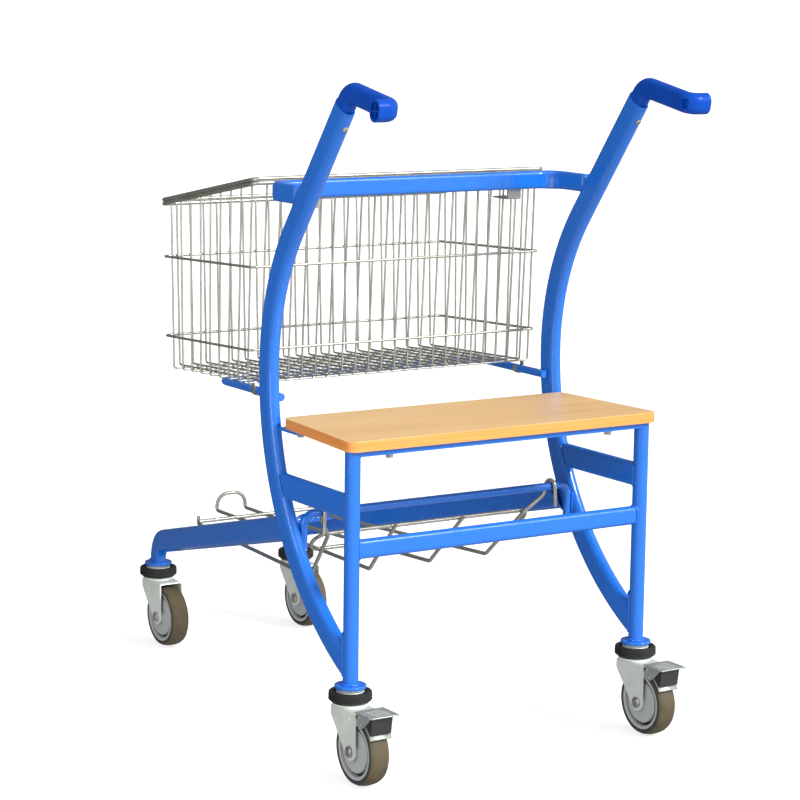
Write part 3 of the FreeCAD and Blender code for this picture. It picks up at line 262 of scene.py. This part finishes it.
def along(points, closed):
    """Tangent at each point of a polyline."""
    count = len(points)
    tangents = []
    for k in range(count):
        before = points[(k - 1) % count] if closed or k else points[0]
        after = points[(k + 1) % count] if closed or k < count - 1 else points[-1]
        tangents.append((after - before).normalized())
    return tangents


def carried_frames(points, closed, up):
    """Side and up vectors carried along a polyline without twist."""
    tangents = along(points, closed)
    up = Vector(up)
    frames = []
    for tangent in tangents:
        side = tangent.cross(up)
        if side.length < 1e-6:
            side = tangent.orthogonal()
        side.normalize()
        up = side.cross(tangent).normalized()
        frames.append((side, up))
    return frames


def skin(work, points, outline_at, closed=False, up=(0, 0, 1)):
    """Skins a section along points; outline_at(k) gives (side, up) offsets in metres."""
    frames = carried_frames(points, closed, up)
    rings = []
    for k, (point, (side, rise)) in enumerate(zip(points, frames)):
        rings.append([work.verts.new(point + side * a + rise * b) for a, b in outline_at(k)])
    pairs = list(zip(rings, rings[1:]))
    if closed:
        pairs.append((rings[-1], rings[0]))
    for first, second in pairs:
        size = len(first)
        for j in range(size):
            work.faces.new((first[j], first[(j + 1) % size], second[(j + 1) % size], second[j]))
    if not closed:
        work.faces.new(rings[0][::-1])
        work.faces.new(rings[-1])


def round_outline(radius, sides=10, flat=1.0):
    return [(radius * math.cos(2 * math.pi * j / sides), radius * flat * math.sin(2 * math.pi * j / sides))
            for j in range(sides)]


def resampled(points, step, closed=False):
    """Evenly spaced points along a polyline."""
    track = points + points[:1] if closed else points
    lengths = [0.0]
    for a, b in zip(track, track[1:]):
        lengths.append(lengths[-1] + (b - a).length)
    count = max(4, round(lengths[-1] / step))
    result = []
    k = 0
    for j in range(count if closed else count + 1):
        target = lengths[-1] * j / count
        while k < len(track) - 2 and lengths[k + 1] < target:
            k += 1
        span = lengths[k + 1] - lengths[k] or 1.0
        result.append(track[k].lerp(track[k + 1], (target - lengths[k]) / span))
    return result


def weld(work, points, radius, closed=False, rng=random.Random(3)):
    """Rippled weld bead along a path, as laid down in small overlapping pools."""
    track = resampled(points, radius * 0.55, closed)
    pools = [radius * (1 + 0.13 * math.sin(k * 1.9) + rng.uniform(-0.1, 0.1)) for k in range(len(track))]
    track = [point + Vector([rng.uniform(-1, 1) for _ in range(3)]) * radius * 0.08 for point in track]
    if not closed:
        pools[0] *= 0.5
        pools[-1] *= 0.5
    skin(work, track, lambda k: round_outline(pools[k], 8), closed)


def stadium(long_side, short_side, steps=10):
    """Points (a, b) round a flat-oval outline, long along b."""
    radius = short_side / 2
    half = (long_side - short_side) / 2
    top = [(radius * math.cos(t), half + radius * math.sin(t))
           for t in (math.pi * j / steps for j in range(steps + 1))]
    return top + [(-a, -b) for a, b in top]


def rounded_bar(long_side, short_side, corner, steps=5):
    """Points (a, b) round a rectangle with rounded corners, long along b."""
    points = []
    for quarter, (u, v) in enumerate(((1, 1), (-1, 1), (-1, -1), (1, -1))):
        centre = (u * (short_side / 2 - corner), v * (long_side / 2 - corner))
        for j in range(steps + 1):
            t = math.pi / 2 * (quarter + j / steps)
            points.append((centre[0] + corner * math.cos(t), centre[1] + corner * math.sin(t)))
        if quarter % 2:
            points += [(u * short_side / 2, b * v * long_side / 8) for b in (2, 1, 0, -1, -2)]
    return points


def circle_points(centre, radius, count=40):
    return [centre + Vector((math.cos(t), math.sin(t), 0)) * radius
            for t in (2 * math.pi * j / count for j in range(count))]


# ---------------------------------------------------------------- places taken from the model
AXLE_BACK, AXLE_UP = 0.034, 0.050     # axle behind the king pin, and its height
BOW_Y, BOW_Z = 0.234, 0.545           # foremost point of the bowed side tube
BOW_BELOW, BOW_ABOVE = 0.435, 0.355   # bend radius of that tube under and over this point
BOW_LEAN = math.radians(37)           # lean of its straight top
TUBE_EDGE, TUBE_HALF = 0.010, 0.019   # radius of the tube's round ends, and half its depth
LEG_OUT = 0.0113                      # weld line just outside the round leg
BASKET_Y, BASKET_Z = 0.271, 0.820     # rear rim, about which the basket tips
BASKET_LEAN = math.radians(2.4)
BASKET_FLOOR = 0.5205


def middle(node):
    low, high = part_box(node)
    return (Vector(low) + Vector(high)) / 2


def tube_line(level):
    """Forward place and lean of the side tube's middle line at a height."""
    rise = level - BOW_Z
    if rise <= 0:
        angle = math.asin(-rise / BOW_BELOW)
        return BOW_Y - BOW_BELOW * (1 - math.cos(angle)), -angle
    top = BOW_ABOVE * math.sin(BOW_LEAN)
    if rise < top:
        angle = math.asin(rise / BOW_ABOVE)
        return BOW_Y - BOW_ABOVE * (1 - math.cos(angle)), angle
    bend_end = BOW_Y - BOW_ABOVE * (1 - math.cos(BOW_LEAN))
    return bend_end - (rise - top) * math.tan(BOW_LEAN), BOW_LEAN


def tube_face(level, across, front):
    """Surface of the side tube, across metres off its middle: the tube's ends are round."""
    y, lean = tube_line(level)
    fall = TUBE_EDGE - math.sqrt(TUBE_EDGE ** 2 - min(abs(across), 0.0098) ** 2)
    reach = TUBE_HALF / math.cos(lean) - fall
    return y + (reach if front else -reach)


# ---------------------------------------------------------------- weld beads on the frame
def frame_welds():
    work = bmesh.new()
    for side, sign in SIDES.items():
        leg = middle(f"rear_leg_{side}")
        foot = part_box(f"rear_leg_{side}")[0][2]
        x = leg.x
        weld(work, circle_points(Vector((x, leg.y, foot + 0.0006)), 0.0118), 0.0021, True)
        start, end = Vector((x, 0.150, 0)), Vector((sign * 0.133, 0.810, 0))
        heading = (end - start).normalized()
        across = heading.cross(Vector((0, 0, 1)))
        base = Vector((end.x, end.y, foot + 0.0006))
        loop = [base + across * a + heading * b for a, b in stadium(0.0395, 0.0215)]
        weld(work, loop, 0.0021, True)
        bar_z = middle("rear_crossbar").z
        loop = [Vector((x - sign * math.sqrt(LEG_OUT ** 2 - a * a), a, bar_z + b))
                for a, b in stadium(0.029, 0.0148)]
        weld(work, loop, 0.0017, True)
        rail_z = middle(f"side_rail_{side}").z
        loop = [Vector((x + a, math.sqrt(LEG_OUT ** 2 - a * a), rail_z + b))
                for a, b in stadium(0.037, 0.0148)]
        weld(work, loop, 0.0017, True)
        loop = [Vector((x + a, tube_face(rail_z + b, a, False), rail_z + b))
                for a, b in stadium(0.037, 0.0148)]
        weld(work, loop, 0.0017, True)
        bar_z = middle("basket_bar").z
        loop = [Vector((x + a, tube_face(bar_z + b, a, True), bar_z + b))
                for a, b in stadium(0.028, 0.0168)]
        weld(work, loop, 0.0017, True)
        loop = []
        for a, b in stadium(0.0395, 0.0208):
            z = 0.3223 + b
            shift = a - sign * 0.0065
            loop.append(Vector((x + shift, tube_face(z, shift, True), z)))
        weld(work, loop, 0.0019, True)
        flat = [Vector((x - 0.0102, 0.0050, 0.147 + 0.0035 * k)) for k in range(17)]
        over = [Vector((x + 0.0102 * math.sin(t), 0.0112 * math.cos(t) - 0.0004 + 0.0045 * abs(math.sin(t)),
                        0.2095 - 0.0062 * math.sin(t) ** 2)) for t in
                (math.pi * (j / 10 - 0.5) for j in range(11))]
        back = [Vector((x + 0.0102, p.y, p.z)) for p in flat[::-1]]
        weld(work, flat + over + back, 0.0017)
        inner = x - sign * 0.0106
        for y in (0.1538, 0.1662):
            weld(work, [Vector((inner, y, z)) for z in (0.299, 0.31, 0.322, 0.333)], 0.0016)
        rod = middle("basket_support_rod").z
        for z in (rod - 0.0056, rod + 0.0056):
            weld(work, [Vector((inner, y, z)) for y in (0.2275, 0.231, 0.235, 0.2385)], 0.0016)
        strip_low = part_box("seat_rear_strip")[0][2]
        weld(work, [Vector((x - sign * math.sqrt(LEG_OUT ** 2 - y * y), y, strip_low)) for y in
                    (-0.0095, -0.006, 0, 0.006, 0.0095)], 0.0015)
        tab_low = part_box(f"seat_tab_{side}")[0][2]
        weld(work, [Vector((x - sign * a, tube_face(tab_low, a, False), tab_low)) for a in
                    (0.0095, 0.008, 0.005, 0.002)], 0.0015)
    return piece("frame_welds", work, BLUE, "frame")


# ---------------------------------------------------------------- basket bar with pressed bends
def pressed_bar():
    """Flat-oval tube bent in a press: the inside of each bend is dented and lightly rippled."""
    low, high = (Vector(v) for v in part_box("basket_bar"))
    z = (low.z + high.z) / 2
    depth, height = 0.016, high.z - low.z
    front, half, bend = high.y - depth / 2, high.x - depth / 2, 0.034
    rear = tube_face(z, 0, True)
    left = [Vector((-half, rear + k * (front - bend - rear) / 8, z)) for k in range(9)]
    arc = [Vector((-half + bend - bend * math.cos(t), front - bend + bend * math.sin(t), z))
           for t in (math.pi / 2 * k / 24 for k in range(1, 25))]
    straight = [Vector((-half + bend + (half - bend) * k / 20, front, z)) for k in range(1, 21)]
    path = left + arc + straight
    path += [Vector((-p.x, p.y, p.z)) for p in path[-2::-1]]
    count = len(path)
    turn_middle = 9 + 11.5
    outline = rounded_bar(height, depth, 0.0055)

    def section(k):
        place = min(k, count - 1 - k)
        nearness = math.exp(-((place - turn_middle) / 6.0) ** 2)
        wave = 0.0005 * math.sin((place - turn_middle) * 1.9) * nearness
        points = []
        for a, b in outline:
            inner = max(0.0, a / (depth / 2))
            level = 1 - min(1.0, abs(b) / (height / 2)) ** 2
            points.append((a - inner * (0.0030 * nearness * level + wave), b * (1 + 0.03 * nearness)))
        return points

    work = bmesh.new()
    skin(work, path, section)
    bar = piece("basket_bar_pressed", work, BLUE, "frame")
    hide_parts("basket_bar")
    return bar


# ---------------------------------------------------------------- wire crossings
def nugget(work, centre, along_axis, reach, thick):
    """Small melted lump where two wires are resistance-welded."""
    along_axis = along_axis.normalized()
    side = along_axis.orthogonal().normalized()
    other = along_axis.cross(side)
    rings = []
    for j in range(1, 5):
        t = math.pi * j / 5
        radius = thick * math.sin(t)
        base = centre - along_axis * (reach * math.cos(t))
        rings.append([work.verts.new(base + (side * math.cos(u) + other * math.sin(u)) * radius)
                      for u in (2 * math.pi * i / 7 for i in range(7))])
    for first, second in zip(rings, rings[1:]):
        for i in range(7):
            work.faces.new((first[i], first[(i + 1) % 7], second[(i + 1) % 7], second[i]))
    work.faces.new(rings[0][::-1])
    work.faces.new(rings[-1])


def in_basket(x, y, z):
    """Place in the cart of a point in the basket's own frame, which tips forward about its rear rim."""
    forward, rise = y - BASKET_Y, z - BASKET_Z
    return Vector((x, BASKET_Y + forward * math.cos(BASKET_LEAN) + rise * math.sin(BASKET_LEAN),
                   BASKET_Z - forward * math.sin(BASKET_LEAN) + rise * math.cos(BASKET_LEAN)))


def basket_nuggets():
    """Welds between the outer bands and each upright wire of the basket, and across its floor."""
    work = bmesh.new()
    upright = in_basket(0, BASKET_Y, BASKET_Z + 0.001) - in_basket(0, BASKET_Y, BASKET_Z)
    columns = [-0.231 + 0.0231 * k for k in range(21)]
    feet = [0.309 + 0.029 * k for k in range(9)]
    for level in (0.692, 0.570):
        share = (BASKET_Z - level) / (BASKET_Z - BASKET_FLOOR)
        rear = 0.2751 + 0.0284 * share - 0.0015
        for x in columns:
            for y in (rear, 0.5594):
                nugget(work, in_basket(x, y, level), upright, 0.0018, 0.0013)
        for k, foot in enumerate(feet):
            head = 0.286 + 0.253 / 8 * k
            top = 0.8138 - (head - BASKET_Y) * 0.1436
            y = head + (foot - head) * (top - level) / (top - BASKET_FLOOR)
            for x in (-0.2514, 0.2514):
                nugget(work, in_basket(x, y, level), upright, 0.0018, 0.0013)
    for x in columns:
        for y in feet:
            nugget(work, in_basket(x, y, BASKET_FLOOR + 0.0014), Vector((1, 1, 0)), 0.0016, 0.0011)
    return piece("basket_wire_welds", work, ZINC_WIRE, "frame")


# ---------------------------------------------------------------- caster details
def lathe(work, centre, outline, direction=1, steps=48):
    """Turns (radius, offset) points about the line through centre along X."""
    rings = []
    for k in range(steps):
        t = 2 * math.pi * k / steps
        rings.append([work.verts.new(centre + Vector((direction * offset, radius * math.cos(t),
                                                      radius * math.sin(t)))) for radius, offset in outline])
    count = len(outline)
    for k in range(steps):
        first, second = rings[k], rings[(k + 1) % steps]
        for j in range(count - 1):
            work.faces.new((first[j], first[j + 1], second[j + 1], second[j]))


def dome(work, centre, radius, rise, direction):
    outline = [(radius * math.cos(t), rise * math.sin(t)) for t in (math.pi / 2 * j / 6 for j in range(6))]
    outline.append((0.00002, rise))
    lathe(work, centre, [(radius, -0.0003)] + outline, direction, 20)


def caster_details(name, braked):
    king = middle(f"fork_{name}")
    x, y = king.x, middle(f"axle_{name}").y + AXLE_BACK
    axle = Vector((x, y - AXLE_BACK, AXLE_UP))
    work = bmesh.new()
    # Each side's hub groove is lined with a dark ring in the black brake plastic, with small ribs across it,
    # much darker than the grey hub round it.
    for direction in (-1, 1):
        lathe(work, axle, [(0.0313, 0.0052), (0.0322, 0.0074), (0.0334, 0.0080), (0.0349, 0.0080),
                           (0.0358, 0.0070), (0.0363, 0.0052)], direction)
        for k in range(10):
            t = 2 * math.pi * k / 10
            radial = Vector((0, math.cos(t), math.sin(t)))
            spoke = [axle + radial * r + Vector((direction * 0.0088, 0, 0)) for r in (0.0318, 0.0338, 0.0358)]
            skin(work, spoke, lambda _: round_outline(0.0009, 8), up=(1, 0, 0))
    piece(f"wheel_groove_{name}", work, SHOE, f"wheel_{name}")
    work = bmesh.new()
    for direction in (-1, 1):
        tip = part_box(f"axle_{name}")[1][0] - x
        lathe(work, axle, [(0.0030, tip + 0.0001), (0.0033, tip + 0.0006), (0.0044, tip + 0.0006),
                           (0.0047, tip - 0.0001)], direction, 28)
    piece(f"axle_ends_{name}", work, BOLT, f"swivel_{name}")
    if not braked:
        return
    work = bmesh.new()
    for direction in (-1, 1):
        for back, up in ((0.053, 0.1040), (0.057, 0.0945)):
            dome(work, Vector((x + direction * 0.0184, y - back, up)), 0.0027, 0.0012, direction)
    strip = []
    for k in range(25):
        t = math.radians(107 + 44 * k / 24)
        radius = 0.0540 + 0.0013 * k / 24
        strip.append(axle + Vector((0, radius * math.cos(t), radius * math.sin(t))))
    tangents = along(strip, False)
    rows = []
    for point, tangent in zip(strip, tangents):
        normal = tangent.cross(Vector((1, 0, 0))).normalized()
        rows.append([work.verts.new(point + Vector((a, 0, 0)) + normal * b) for a, b in
                     ((-0.0172, -0.0005), (0.0172, -0.0005), (0.0176, 0), (0.0172, 0.0005), (-0.0172, 0.0005),
                      (-0.0176, 0))])
    for first, second in zip(rows, rows[1:]):
        for j in range(6):
            work.faces.new((first[j], first[(j + 1) % 6], second[(j + 1) % 6], second[j]))
    work.faces.new(rows[0][::-1])
    work.faces.new(rows[-1])
    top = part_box(f"brake_pedal_{name}")[1][2]
    for back, reach in ((0.062, 0.013), (0.068, 0.0155), (0.074, 0.0155), (0.080, 0.0155), (0.086, 0.013)):
        ridge = [Vector((x + reach * (k / 4 - 1), y - back, top - 0.0002)) for k in range(9)]
        skin(work, ridge, lambda _: round_outline(0.0012, 10, 0.5))
    lip = [Vector((x + 0.0225 * (k / 5 - 1), y - 0.0918, top - 0.0011)) for k in range(11)]
    skin(work, lip, lambda _: round_outline(0.0012, 8))
    piece(f"brake_fittings_{name}", work, ZINC_PEDAL, f"brake_{name}")


def caster_tops():
    """Fine mould ribs round each bumper ring and a rolled lip on its collar."""
    ribs, lips = bmesh.new(), bmesh.new()
    low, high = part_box("caster_bumpers")[0][2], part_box("caster_bumpers")[1][2]
    for name in CASTERS:
        centre = middle(f"axle_{name}") + Vector((0, AXLE_BACK, 0))
        for z, radius in ((low + 0.0055, 0.03045), (low + 0.0100, 0.03045)):
            ring = circle_points(Vector((centre.x, centre.y, z)), radius, 64)
            skin(ribs, ring, lambda _: round_outline(0.0006, 6), True)
        ring = circle_points(Vector((centre.x, centre.y, high - 0.0012)), 0.0186, 48)
        skin(lips, ring, lambda _: round_outline(0.0011, 8), True)
    piece("bumper_ribs", ribs, BUMPER, "frame")
    piece("collar_lips", lips, ZINC_SHEET, "frame")


frame_welds()
pressed_bar()
basket_nuggets()
caster_tops()
for name, braked in CASTERS.items():
    caster_details(name, braked)


# ---------------------------------------------------------------- stage, light and camera
def stage_piece(name, work, brightness):
    """Plain white stage surface that the camera sees but that adds no light of its own."""
    mesh = bpy.data.meshes.new(name)
    work.to_mesh(mesh)
    work.free()
    obj = bpy.data.objects.new(name, mesh)
    scene.collection.objects.link(obj)
    material, _, shader = new_material(f"{name}_white")
    shader.inputs["Base Color"].default_value = (0.5, 0.5, 0.5, 1)
    shader.inputs["Roughness"].default_value = 0.95
    shader.inputs["Specular IOR Level"].default_value = 0.0
    shader.inputs["Emission Color"].default_value = (1, 1, 1, 1)
    shader.inputs["Emission Strength"].default_value = brightness
    mesh.materials.append(material)
    obj.visible_diffuse = False
    obj.visible_glossy = False
    return obj


def make_stage():
    size = 40.0
    work = bmesh.new()
    work.faces.new([work.verts.new((x, y, -0.0004)) for x, y in ((-size, -size), (size, -size), (size, size),
                                                                 (-size, size))])
    stage_piece("floor", work, 0.72)
    work = bmesh.new()
    for low, high in zip(circle_points(Vector((0, 0, 0)), 30, 64), circle_points(Vector((0, 0, 25)), 30, 64)):
        work.verts.new(low)
        work.verts.new(high)
    work.verts.ensure_lookup_table()
    for k in range(64):
        j = (k + 1) % 64
        work.faces.new([work.verts[n] for n in (2 * k, 2 * j, 2 * j + 1, 2 * k + 1)])
    stage_piece("backdrop", work, 1.0).visible_shadow = False


def area_light(name, place, target, width, height, power):
    data = bpy.data.lights.new(name, "AREA")
    data.shape = "RECTANGLE"
    data.size = width
    data.size_y = height
    data.energy = power
    aim(name, data, place, target)


def aim(name, data, place, target):
    lamp = bpy.data.objects.new(name, data)
    lamp.location = place
    lamp.rotation_mode = "QUATERNION"
    lamp.rotation_quaternion = (Vector(target) - Vector(place)).to_track_quat("-Z", "Y")
    scene.collection.objects.link(lamp)


def make_light():
    """Studio that is bright behind the camera and dim beyond the cart, with a soft key from the right."""
    world = bpy.data.worlds.new("studio")
    scene.world = world
    world.use_nodes = True
    tree = world.node_tree
    source = add_node(tree, "TexCoord")
    split = add_node(tree, "SeparateXYZ")
    tree.links.new(source.outputs["Generated"], split.inputs["Vector"])
    background = tree.nodes["Background"]
    background.inputs["Color"].default_value = (1, 1, 1, 1)
    tree.links.new(spread(tree, split.outputs["Y"], 1.05, 0.12, -1, 1), background.inputs["Strength"])
    key = bpy.data.lights.new("key", "SUN")
    key.energy = 3.6
    key.angle = math.radians(14)
    aim("key", key, (0.40, -0.76, 0.60), (0, 0, 0))
    area_light("strip_left", (-2.4, -0.9, 1.1), (0, 0.2, 0.5), 0.4, 2.0, 21)
    area_light("strip_right", (2.6, -1.8, 1.3), (0, 0.2, 0.5), 0.5, 2.2, 8)


def make_camera():
    """Long lens from behind and to the left, a little above the seat."""
    azimuth, elevation, roll = math.radians(-32.50), math.radians(9.46), math.radians(0.767)
    back = Vector((math.sin(azimuth) * math.cos(elevation), -math.cos(azimuth) * math.cos(elevation),
                   math.sin(elevation)))
    right = (-back).cross(Vector((0, 0, 1))).normalized()
    up = right.cross(-back)
    side = right * math.cos(roll) + up * math.sin(roll)
    top = up * math.cos(roll) - right * math.sin(roll)
    data = bpy.data.cameras.new("camera")
    data.sensor_width = 36.0
    data.lens = 118.9
    camera = bpy.data.objects.new("camera", data)
    camera.matrix_world = Matrix.Translation((-2.1145, -3.0464, 1.1337)) @ Matrix(
        (side, top, back)).transposed().to_4x4()
    scene.collection.objects.link(camera)
    scene.camera = camera


make_stage()
make_light()
make_camera()

scene.view_settings.view_transform = "Standard"
